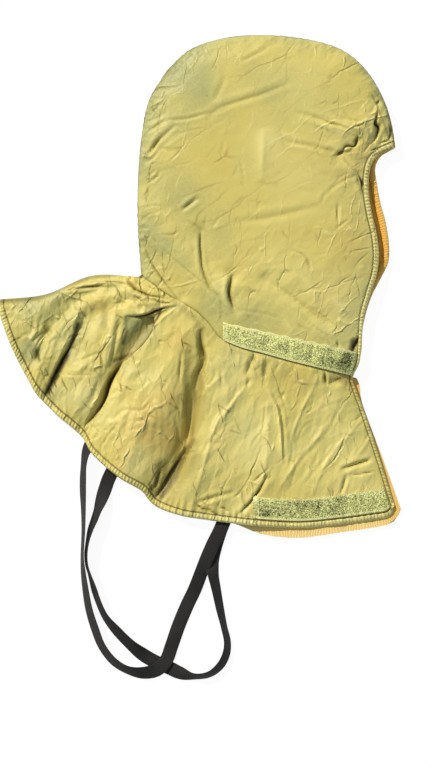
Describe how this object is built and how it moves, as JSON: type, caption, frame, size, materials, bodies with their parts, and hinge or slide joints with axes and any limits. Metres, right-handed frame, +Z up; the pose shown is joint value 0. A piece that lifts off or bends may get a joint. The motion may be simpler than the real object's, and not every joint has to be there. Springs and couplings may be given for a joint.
{
  "type": "cold weather hood",
  "caption": "Olive nylon cold weather hood with an orange lining, a shoulder cape, hook and loop closure tapes and black under-arm straps, lying flat on its left side.",
  "frame": {"origin": "centre of the lying hood and cape, on the surface that it lies on", "axes": "+X towards the face opening, +Y towards the crown, +Z up from the surface"},
  "size_m": [0.4733, 0.7518, 0.036],
  "materials": {
    "shell_nylon": "olive gold nylon taffeta, soft sheen, crumpled",
    "lining_nylon": "orange nylon lining, soft sheen",
    "loop_tape": "olive green loop pile tape",
    "hook_tape": "olive green hook tape",
    "strap_tape": "black woven tape"
  },
  "bodies": {
    "root": {"hood_shell_right": "shell_nylon", "hood_shell_left": "shell_nylon", "hood_lining_right": "lining_nylon", "hood_lining_left": "lining_nylon", "cape_shell": "shell_nylon", "cape_lining": "lining_nylon", "throat_loop_tape": "loop_tape", "hem_loop_tape": "loop_tape", "throat_hook_tape": "hook_tape", "hem_hook_tape": "hook_tape", "strap_right": "strap_tape", "strap_left": "strap_tape"}
  },
  "joints": []
}
